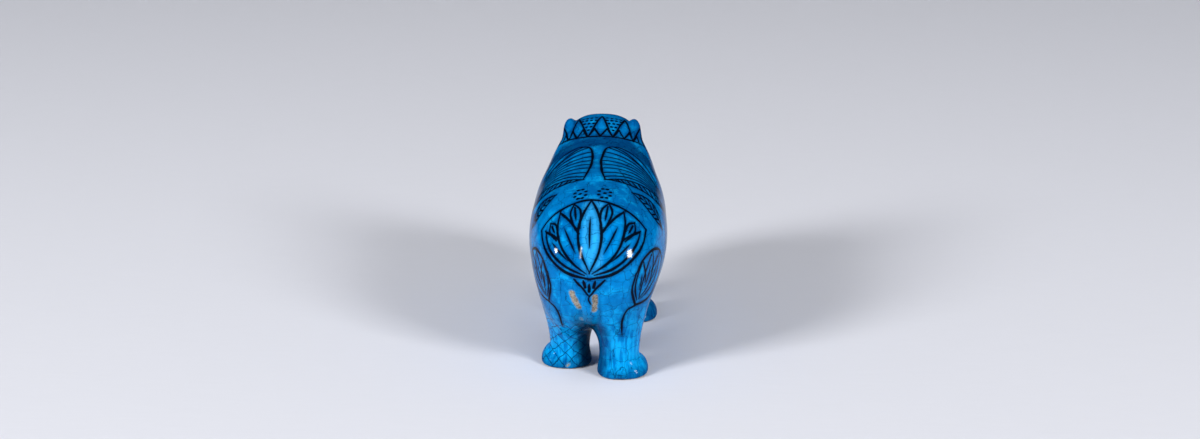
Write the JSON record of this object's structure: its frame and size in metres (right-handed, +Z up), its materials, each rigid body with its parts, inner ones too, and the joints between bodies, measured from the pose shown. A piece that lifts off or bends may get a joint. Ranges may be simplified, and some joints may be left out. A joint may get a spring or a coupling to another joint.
{
  "type": "faience hippopotamus figure",
  "caption": "Standing hippopotamus figure in blue glazed faience, moulded in one piece on four short legs and painted with dark line drawings of water plants.",
  "frame": {"origin": "on the floor, under the middle of the figure's box", "axes": "+Z up, head towards -Y, tail towards +Y, the animal's left side towards +X"},
  "size_m": [0.0774, 0.2004, 0.1149],
  "materials": {
    "glaze": "glossy copper-blue faience glaze, finely crazed, with near-black painted lines and a few worn tan patches"
  },
  "bodies": {
    "root": {"hippopotamus": "glaze"}
  },
  "joints": []
}
